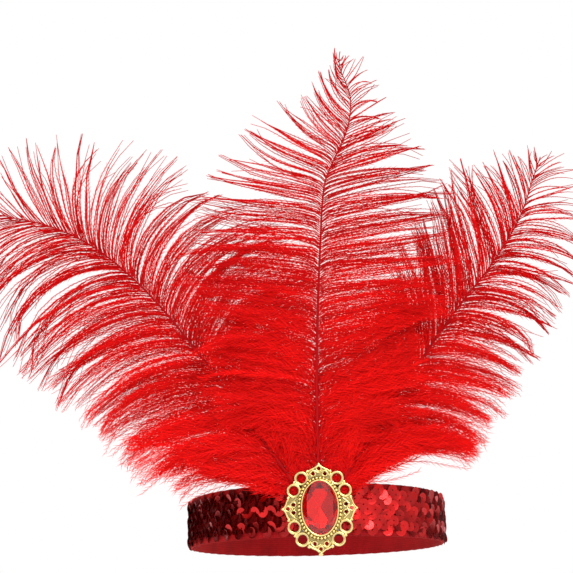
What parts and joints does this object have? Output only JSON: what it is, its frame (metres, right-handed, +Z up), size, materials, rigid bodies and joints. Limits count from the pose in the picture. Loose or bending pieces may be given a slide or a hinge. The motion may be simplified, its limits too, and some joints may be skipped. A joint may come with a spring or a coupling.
{
  "type": "feather headband",
  "caption": "Elastic headband covered in zigzag rows of red sequins, with tall red plumes that fan out from behind an oval stone in a pierced gold setting.",
  "frame": {"origin": "in the middle of the head opening, at half the height of the band, where the head sits", "axes": "+Z up along the head, -Y to the front where the brooch and the plumes are, +X to the right as seen from the front"},
  "size_m": [0.4054, 0.2281, 0.3113],
  "materials": {
    "elastic": "woven elastic",
    "sequins": "gloss, foil backed",
    "gold": "bright pale gold plating",
    "stone": "polished, faceted, foil backed",
    "pin": "plain",
    "feather": "dyed ostrich plume"
  },
  "bodies": {
    "root": {"elastic_band": "elastic", "sequin_row_top": "sequins", "sequin_row_middle": "sequins", "sequin_row_bottom": "sequins", "brooch_setting": "gold", "brooch_stone": "stone", "brooch_pin": "pin", "plume_left": "feather", "plume_center": "feather", "plume_right": "feather"}
  },
  "joints": []
}
